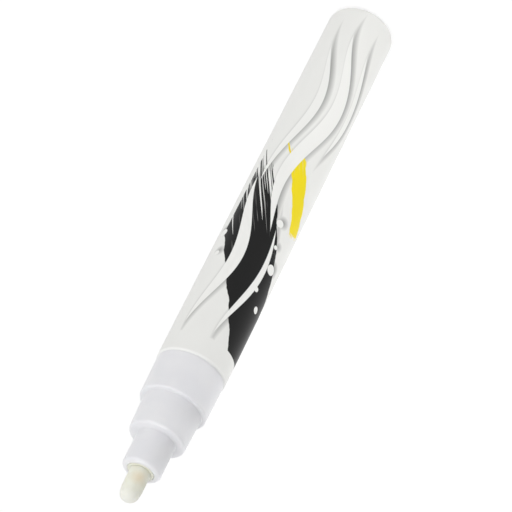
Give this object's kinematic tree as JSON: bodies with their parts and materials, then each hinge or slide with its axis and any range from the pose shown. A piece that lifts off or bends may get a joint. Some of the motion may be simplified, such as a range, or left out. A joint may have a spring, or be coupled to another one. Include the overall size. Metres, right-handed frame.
{
  "type": "liquid chalk marker",
  "caption": "Uncapped liquid chalk marker: round printed barrel, stepped translucent nose and an ivory bullet nib that presses in against a sprung ink valve.",
  "frame": {"origin": "centre of the barrel's closed rear end face", "axes": "+Z along the marker's axis from the rear end to the nib; X and Y across it"},
  "size_m": [0.0154, 0.0154, 0.136],
  "materials": {
    "barrel_white": "satin moulded polypropylene with a printed design",
    "nose_translucent": "translucent natural polypropylene",
    "nib_fibre": "bonded polyester fibre, ivory",
    "seal_rubber": "black nitrile rubber",
    "valve_plastic": "natural acetal",
    "spring_steel": "drawn stainless wire",
    "ball_steel": "polished stainless ball"
  },
  "bodies": {
    "marker_body": {"barrel": "barrel_white", "nose_holder": "nose_translucent", "nose_seal": "seal_rubber", "nib_guide": "valve_plastic", "valve_cap": "valve_plastic", "valve_case": "valve_plastic", "valve_spring": "spring_steel"},
    "pump": {"nib": "nib_fibre", "valve_stem": "valve_plastic", "valve_seal": "seal_rubber"},
    "left_ball": {"mixing_ball_left": "ball_steel"},
    "right_ball": {"mixing_ball_right": "ball_steel"}
  },
  "joints": [
    {"name": "nib_press", "type": "slide", "parent": "marker_body", "child": "pump", "axis": [0, 0, -1], "range_m": [0, 0.0025], "stiffness_N_per_m": 900, "springref_m": -0.001, "deforming": ["valve_spring"]},
    {"name": "left_ball_run", "type": "slide", "parent": "marker_body", "child": "left_ball", "axis": [0, 0, 1], "range_m": [0, 0.0727]},
    {"name": "right_ball_run", "type": "slide", "parent": "marker_body", "child": "right_ball", "axis": [0, 0, 1], "range_m": [0, 0.0727]}
  ]
}
